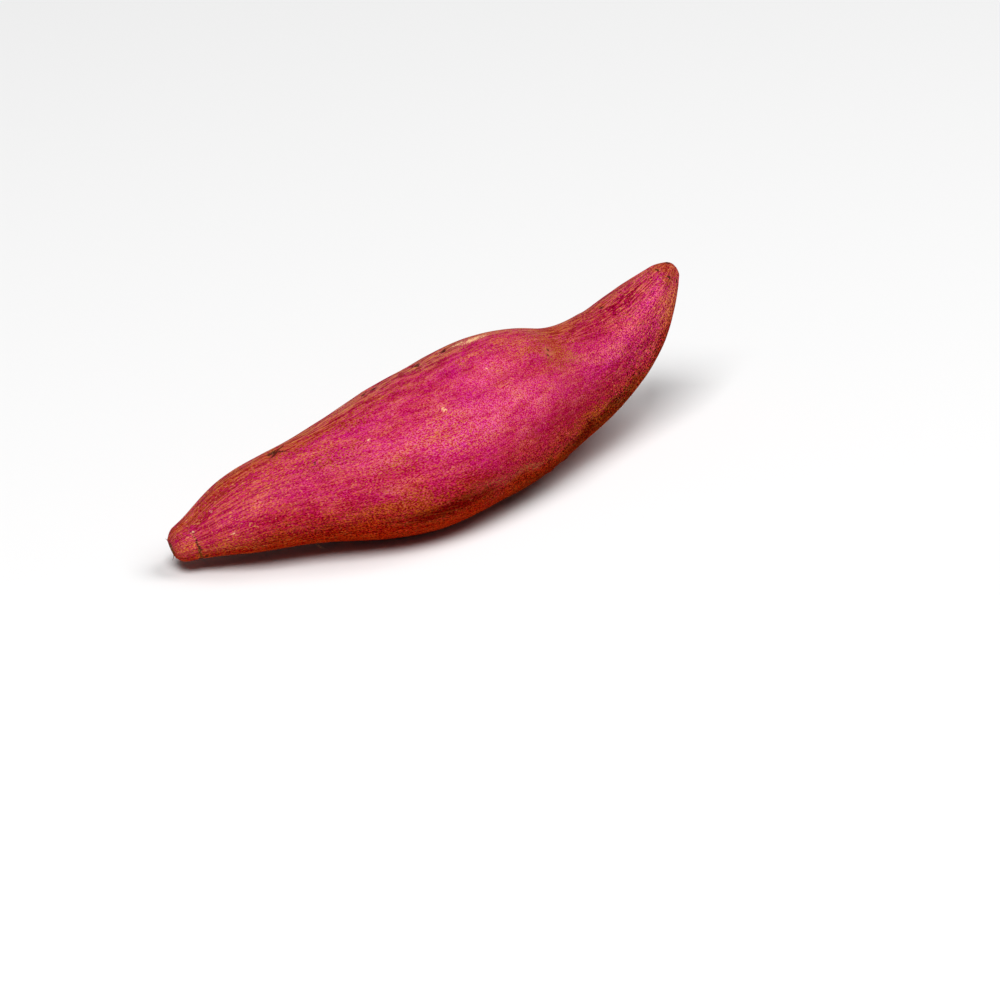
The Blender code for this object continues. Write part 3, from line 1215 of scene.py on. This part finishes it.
def tail_scar(tree, colour, along, wobble, cells):
    """The dry scar of the snapped end, with its dark rim."""
    edge = maths(tree, "MULTIPLY_ADD", wobble, -END_SCAR_WOBBLE, along)
    rim = below(tree, edge, END_SCAR_PLACE, END_SCAR_SHARPNESS)
    inner = below(tree, edge, END_SCAR_PLACE - END_RIM, END_SCAR_SHARPNESS)
    colour = mixed(tree, times(tree, rim, END_RIM_SHARE), colour, SCAR_BROWN)
    dry = times(tree, inner, maths(tree, "MULTIPLY_ADD", cells, DRY_IN_CELLS, DRY_LEAST))
    return mixed(tree, dry, colour, DRY_END)


def stem_spot(tree, colour, along, wobble):
    """The dark scab of the stem end."""
    left = maths(tree, "SUBTRACT", LENGTH, along)
    edge = maths(tree, "MULTIPLY_ADD", wobble, -END_SCAR_WOBBLE, left)
    spot = below(tree, edge, STEM_SPOT_PLACE, STEM_SPOT_SHARPNESS)
    return mixed(tree, times(tree, spot, STEM_SPOT_SHARE), colour, SCAR_BROWN)


def end_layers(tree, colour, strand_place, cells):
    """The thin crease line and the scars of both ends."""
    along = put(tree, "ShaderNodeSeparateXYZ", ((0, strand_place),)).outputs[0]
    wobble = drawn(tree, strand_place, *END_WOBBLE)
    line = times(tree, crease_line(tree, along, wobble), LINE_SHARE)
    colour = mixed(tree, line, colour, SCAR_BROWN)
    colour = tail_scar(tree, colour, along, wobble, cells)
    return stem_spot(tree, colour, along, wobble)


print("crease line, millimetres from the tail:", CREASE_ALONG)

# %% [markdown]
# Over the patches lies a close grain of darker and lighter cells, half a millimetre across. A cell
# has no colour of its own: it makes whatever lies under it darker or lighter, so it is multiplied in.
# On the tail, on the neck, along the flecked lower edge and on the underside the cells are turned a
# little further. Along the flecked lower edge the whole colour is first darkened as painted shade, and
# the dark cells there and on the underside are darkened more, which deepens the painted shade.
# The cork is multiplied in as well, rustier where it is thick and pinker where it is thin. Only the
# golden flecks have a colour of their own. They are mixed in where a light cell meets thick cork.

# %% Grain
# level where an edge begins, and its steepness
CELL_EDGE = (0.5, 2.8)
CORK_EDGE = (0.5, 2.4)
GOLD_EDGE = (0.55, 3.0)
DARK_CELL_TINT = (0.78, 0.05, 0.74, 1.0)
LIGHT_CELL_TINT = (1.13, 3.30, 1.46, 1.0)
# painted shade that darkens the flecked lower edge
FLECKED_EDGE_SHADE = (0.72, 0.62, 0.60, 1.0)
LOCAL_CELL_TINTS = (
    # mask, which of its cells, and their tint
    ("tail", "light", (0.98, 0.80, 0.62, 1.0)),
    ("neck", "dark", (0.72, 0.20, 0.82, 1.0)),
    ("neck", "light", (1.16, 1.10, 1.14, 1.0)),
    # the flecked edge's dark cells deepen its painted shade
    ("flecked", "dark", (0.38, 0.40, 0.45, 1.0)),
    ("flecked", "light", (1.55, 1.90, 1.90, 1.0)),
    # the underside's dark cells deepen its painted shade
    ("under", "dark", (0.46, 0.40, 0.56, 1.0)),
    ("under", "light", (1.48, 1.15, 0.95, 1.0)),
)
RUSTY_TINT = (0.88, 1.00, 0.42, 1.0)
PINK_TINT = (1.10, 1.00, 1.80, 1.0)
CORK_GOLD = (0.780, 0.250, 0.050, 1.0)
GOLD_SHARE = 0.30
GOLD_CHANGES = (
    # mask, and how much it adds to the share of gold
    ("under", -0.14),
    ("pale", -0.22),
    ("deep", -0.16),
    ("shade_patches", -0.06),
    ("rust", -0.14),
    ("tapers", 0.14),
    ("flecked", 0.18),
)


def gold_flecks(tree, light, cork):
    """Where the golden flecks show, and how strongly."""
    share = GOLD_SHARE
    for name, change in GOLD_CHANGES:
        share = maths(tree, "MULTIPLY_ADD", kept(tree, name), change, share)
    share = maths(tree, "MAXIMUM", share, 0.0)
    return times(tree, times(tree, light, above(tree, cork, *GOLD_EDGE)), share)


def grain_layer(tree, colour, cells, cork):
    """Dark and light cells, rustier and pinker cork, and golden flecks."""
    shown = {"dark": below(tree, cells, *CELL_EDGE), "light": above(tree, cells, *CELL_EDGE)}
    # the flecked lower edge darkened as painted shade
    colour = tinted(tree, colour, kept(tree, "flecked"), FLECKED_EDGE_SHADE)
    colour = tinted(tree, colour, shown["dark"], DARK_CELL_TINT)
    colour = tinted(tree, colour, shown["light"], LIGHT_CELL_TINT)
    for name, which, tint in LOCAL_CELL_TINTS:
        colour = tinted(tree, colour, times(tree, shown[which], kept(tree, name)), tint)
    colour = tinted(tree, colour, above(tree, cork, *CORK_EDGE), RUSTY_TINT)
    colour = mixed(tree, gold_flecks(tree, shown["light"], cork), colour, CORK_GOLD)
    return tinted(tree, colour, below(tree, cork, *CORK_EDGE), PINK_TINT)


print("local tints of cells:", len(LOCAL_CELL_TINTS))

# %% [markdown]
# The root's fibres show as fine streaks that run with it, most of all toward the ends and on the
# crest. The dark ones are furrows and only shade what is there, so they are multiplied in. The pale
# ones are dry threads of cork with a colour of their own, so they are mixed in.

# %% Streaks
DARK_LINE_TINT = (0.58, 0.20, 0.32, 1.0)
DARK_LINE_EDGE = (0.44, 4.0)
PALE_LINE = (0.730, 0.260, 0.070, 1.0)
PALE_LINE_EDGE = (0.68, 6.0)
PALE_LINE_SHARE = 0.45
STREAK_LEAST = 0.08
STREAK_MORE = 0.85


def streak_layer(tree, colour, lines):
    """Fine streaks along the root, stronger where the mask of streaks says."""
    strength = maths(tree, "MULTIPLY_ADD", kept(tree, "streaks"), STREAK_MORE, STREAK_LEAST)
    dark = times(tree, below(tree, lines, *DARK_LINE_EDGE), strength)
    pale = times(tree, above(tree, lines, *PALE_LINE_EDGE), strength)
    colour = tinted(tree, colour, dark, DARK_LINE_TINT)
    return mixed(tree, times(tree, pale, PALE_LINE_SHARE), colour, PALE_LINE)


print("share of streaks, least and most:", STREAK_LEAST, STREAK_LEAST + STREAK_MORE)

# %% [markdown]
# On top of all lie the marks: golden specks no bigger than a grain of sand, the tan of the scabs, the
# cream of scrapes and the dark of eyes and cracks. The specks are the highest peaks of a noise, which
# are rare and small. The others are laid on like the patches, with sharper edges.

# %% Marks
SPECK_GOLD = (0.740, 0.290, 0.100, 1.0)
# length, width, seed, spread and detail of the noise
SPECKS = (1.1, 0.8, 131.0, 2.0, 0.0)
SPECK_LEVEL = 0.965
SPECK_TAPER = 0.03
SPECK_SHARPNESS = 14.0
SPECK_SHARE = 0.55
SPECK_UNDERNEATH = 0.20
MARK_PATCHES = (
    # mask, colour, how ragged and how sharp its edge is, and its strength
    ("scabs", (0.520, 0.190, 0.075, 1.0), 1.8, 3.0, 0.5),
    ("scrapes", (0.950, 0.600, 0.300, 1.0), 0.9, 2.5, 0.80),
    ("dark_marks", SCAR_BROWN, 0.5, 2.5, 0.85),
)


def mark_layer(tree, colour, cork, grain_place):
    """Golden specks, tan scabs, cream scrapes and dark scars."""
    flakes = drawn(tree, grain_place, *SPECKS)
    level = maths(tree, "MULTIPLY_ADD", kept(tree, "tapers"), -SPECK_TAPER, SPECK_LEVEL)
    less = SPECK_UNDERNEATH - SPECK_SHARE
    faint = maths(tree, "MULTIPLY_ADD", kept(tree, "under"), less, SPECK_SHARE)
    specks = times(tree, above(tree, flakes, level, SPECK_SHARPNESS), faint)
    colour = mixed(tree, specks, colour, SPECK_GOLD)
    return lay_patches(tree, MARK_PATCHES, colour, cork)


print("marks:", [row[0] for row in MARK_PATCHES])

# %% [markdown]
# Two grains drive the whole skin, its cells and its cork. The close cells give way to drawn-out ones
# where the fibres show. A slow noise tells where the cork is thick, and makes cells lighter and cork
# rustier there, so that the grain isn't the same all over. It does less where the root tapers.

# %% Cells and cork
# length, width, seed, spread and detail of a noise
CLOSE_CELLS = (0.54, 0.40, 9.0, 5.4, 1.5)
COARSE_CELLS = (2.60, 0.38, 13.0, 5.4)
CORK_CELLS = (0.62, 0.46, 21.0, 4.4)
CORK_COVER = (15.0, 5.0, 77.0, 3.0)
STREAKY_CELLS = 0.62
COVER_IN_CELLS = 0.15
COVER_IN_CORK = 0.20
COVER_TAPER = 0.7


def cork_cover(tree, grain_place):
    """The slow noise of the cork, and how much thicker than usual the cork is."""
    cover = drawn(tree, grain_place, *CORK_COVER)
    belly = maths(tree, "MULTIPLY_ADD", kept(tree, "tapers"), -COVER_TAPER, 1.0)
    return cover, times(tree, maths(tree, "SUBTRACT", cover, NOISE_REST), belly)


def cells_and_cork(tree, thick):
    """The grain of the cells and the grain of the cork."""
    cell_place = kept(tree, "cell_place", vector=True)
    close = drawn(tree, cell_place, *CLOSE_CELLS)
    coarse = drawn(tree, cell_place, *COARSE_CELLS)
    cells = mix_numbers(tree, times(tree, kept(tree, "streaks"), STREAKY_CELLS), close, coarse)
    cork = drawn(tree, cell_place, *CORK_CELLS)
    return (
        maths(tree, "MULTIPLY_ADD", thick, COVER_IN_CELLS, cells),
        maths(tree, "MULTIPLY_ADD", thick, COVER_IN_CORK, cork),
    )


print("close cells, millimetres long and wide:", CLOSE_CELLS[:2])

# %% [markdown]
# The gloss of a washed root is low and uneven, and two things make it. The cork is matt, so the
# roughness follows its grain and is highest on the rust. The live skin keeps a thin film of wax, which
# is a weak coat over the flanks and strongest in the light cells. The plain mirror of the skin itself
# is set to nothing, because it would lay a grey veil over the crimson. The smallest relief, too fine
# for the mesh, is left to two bumps: they only bend the light, which is all that can be seen of it.
# The lower half gets a warmer tint, a painted warm light bounced up from below, before the marks go
# on.

# %% Skin material
PAINTED_BOUNCE_TINT = (1.02, 0.90, 0.50, 1.0)
# length, width, seed and spread of a noise
LINES = (8.0, 0.8, 43.0, 4.2)
ROUGHNESS_LEAST = 0.40
ROUGHNESS_IN_CORK = 0.22
ROUGHNESS_IN_RUST = 0.15
WAX_ROUGHNESS = 0.40
WAX_INDEX = 1.36
WAX_LEAST = 0.03
WAX_IN_CELLS = 0.14
STREAK_RELIEF = 0.00016
STREAK_BUMP = 0.5
GRAIN_RELIEF = 0.00007
GRAIN_BUMP = 0.6


def gloss_of_skin(tree, shader, cells, cork):
    """Roughness from the cork and the rust, and the wax from the cells."""
    worn = maths(tree, "MULTIPLY_ADD", cork, ROUGHNESS_IN_CORK, ROUGHNESS_LEAST)
    dry = maths(tree, "MULTIPLY_ADD", kept(tree, "rust"), ROUGHNESS_IN_RUST, worn)
    tree.links.new(dry, shader.inputs["Roughness"])
    film = maths(tree, "MULTIPLY_ADD", cells, WAX_IN_CELLS, WAX_LEAST)
    tree.links.new(times(tree, film, kept(tree, "waxy")), shader.inputs["Coat Weight"])
    shader.inputs["Specular IOR Level"].default_value = 0.0
    shader.inputs["Coat Roughness"].default_value = WAX_ROUGHNESS
    shader.inputs["Coat IOR"].default_value = WAX_INDEX


def relief_of_skin(tree, shader, cells, lines):
    """The bump of the streaks, and the bump of the cells over it."""
    pairs = (("Height", lines), ("Strength", STREAK_BUMP), ("Distance", STREAK_RELIEF))
    streaks = put(tree, "ShaderNodeBump", pairs).outputs[0]
    pairs = (("Height", cells), ("Strength", GRAIN_BUMP), ("Distance", GRAIN_RELIEF))
    grain = put(tree, "ShaderNodeBump", pairs + (("Normal", streaks),)).outputs[0]
    tree.links.new(grain, shader.inputs["Normal"])


def skin_material():
    """The whole finish of the root."""
    material = bpy.data.materials.new("crimson_skin")
    material.use_nodes = True
    tree = material.node_tree
    shader = shader_of(material)
    grain_place = kept(tree, "grain_place", vector=True)
    strand_place = kept(tree, "strand_place", vector=True)
    cover, thick = cork_cover(tree, grain_place)
    cells, cork = cells_and_cork(tree, thick)
    lines = drawn(tree, strand_place, *LINES)
    colour = patch_layers(tree, grain_place, cork, cover)
    colour = end_layers(tree, colour, strand_place, cells)
    colour = grain_layer(tree, colour, cells, cork)
    colour = streak_layer(tree, colour, lines)
    # painted warm bounce light over the lower half
    colour = tinted(tree, colour, kept(tree, "painted_bounce"), PAINTED_BOUNCE_TINT)
    colour = mark_layer(tree, colour, cork, grain_place)
    tree.links.new(colour, shader.inputs["Base Color"])
    gloss_of_skin(tree, shader, cells, cork)
    relief_of_skin(tree, shader, cells, lines)
    print("skin nodes:", len(tree.nodes))
    return material


# %% [markdown]
# The skin goes onto the frame's one body, and takes the place of the plain solid, which stays hidden
# to carry the weight and the touch.

# %% Lay the skin on
def add_piece(name, mesh, material):
    """A piece of the root that moves with it."""
    mesh.materials.append(material)
    piece = bpy.data.objects.new(name, mesh)
    bpy.context.scene.collection.objects.link(piece)
    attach(piece, "root")
    return piece


skin = add_piece("root_skin", skin_mesh, skin_material())
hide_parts(SOLID)

# %% [markdown]
# Last, the few rootlets that a washed root keeps: dry threads as thin as hair that stand out of its
# scars and of the torn tail. Each is a small tube that narrows to a point. It starts a little below
# the skin, leaves it along the skin's own direction, and then bends over.

# %% Rootlets
ROOTLETS = (
    # place along the root, angle in degrees, length, lean ahead and lean round, in millimetres
    (1.0, 140.0, 1.6, -0.6, 0.3),
    (1.2, 250.0, 2.4, -1.5, -1.0),
    (49.5, 99.0, 2.2, 1.2, 0.4),
    (56.0, -58.0, 4.0, 2.5, -1.2),
    (78.5, 170.0, 5.0, 2.0, 1.5),
    (134.0, 193.0, 6.0, -2.5, 1.2),
    (186.5, 175.0, 4.5, 2.8, -0.8),
    (158.0, 228.0, 4.0, -1.5, -1.5),
)
ROOTLET_WIDTH = 0.22
ROOTLET_STEPS = 7
ROOTLET_SIDES = 6
ROOTLET_DEPTH = 0.6


def skin_point(place, degrees):
    """The point of the skin at a place and angle, and the directions ahead and outward there."""
    along = np.array([place])
    angle = np.array([math.radians(degrees)])
    ahead, front, top = section_axes(along)
    outward = front * np.cos(angle)[:, None] + top * np.sin(angle)[:, None]
    return root_points(along, angle)[0][0], ahead[0], outward[0]


def thread_line(place, degrees, length, lean_ahead, lean_round):
    """Points of a rootlet's middle line, in millimetres."""
    foot, ahead, outward = skin_point(place, degrees)
    around = np.cross(ahead, outward)
    lean = lean_ahead * ahead + lean_round * around
    steps = np.linspace(0.0, 1.0, ROOTLET_STEPS)[:, None]
    return foot - ROOTLET_DEPTH * outward + outward * length * steps + lean * steps**2


def add_thread(shape, line):
    """A closed tube round a line, which narrows to a point."""
    rings = []
    for i, point in enumerate(line[:-1]):
        ahead = Vector(line[i + 1] - line[max(i - 1, 0)]).normalized()
        side = ahead.orthogonal().normalized()
        other = ahead.cross(side)
        width = ROOTLET_WIDTH * (1 - i / len(line))
        turns = [2 * math.pi * k / ROOTLET_SIDES for k in range(ROOTLET_SIDES)]
        spots = [Vector(point) + width * (math.cos(t) * side + math.sin(t) * other) for t in turns]
        rings.append([shape.verts.new(spot * MM) for spot in spots])
    tip = shape.verts.new(Vector(line[-1]) * MM)
    shape.faces.new(list(reversed(rings[0])))
    for low, high in zip(rings, rings[1:]):
        for k in range(ROOTLET_SIDES):
            shape.faces.new((low[k], low[k - 1], high[k - 1], high[k]))
    for k in range(ROOTLET_SIDES):
        shape.faces.new((rings[-1][k], rings[-1][k - 1], tip))


print("rootlets:", len(ROOTLETS))

# %% [markdown]
# A dry thread is brown and lighter where its own skin has flaked. The colour is mixed by the same
# drawn-out noise as the root's, only much finer. The threads share one mesh and one material, since
# they differ in nothing but their shape.

# %% Finish of the rootlets
ROOTLET_ROUGHNESS = 0.8
ROOTLET_BROWN = (0.120, 0.050, 0.022, 1.0)
ROOTLET_LIGHT = (0.300, 0.140, 0.060, 1.0)
# length, width, seed and spread of the noise, its sizes in metres here
BLOTCHES = (0.0012, 0.0006, 5.0, 3.0)


def rootlet_material():
    """Dry brown thread, lighter in places."""
    material = plain_material("dry_rootlet", ROOTLET_BROWN, ROOTLET_ROUGHNESS)
    tree = material.node_tree
    place = put(tree, "ShaderNodeTexCoord").outputs["Object"]
    blotches = drawn(tree, place, *BLOTCHES)
    colour = mixed(tree, blotches, ROOTLET_BROWN, ROOTLET_LIGHT)
    tree.links.new(colour, shader_of(material).inputs["Base Color"])
    return material


def make_rootlets():
    """All the rootlets in one mesh."""
    shape = bmesh.new()
    for values in ROOTLETS:
        add_thread(shape, thread_line(*values))
    bmesh.ops.recalc_face_normals(shape, faces=shape.faces)
    mesh = bpy.data.meshes.new("rootlets")
    shape.to_mesh(mesh)
    shape.free()
    mesh.shade_smooth()
    return mesh


add_piece("rootlets", make_rootlets(), rootlet_material())
print("pieces on the root: root_skin, rootlets")
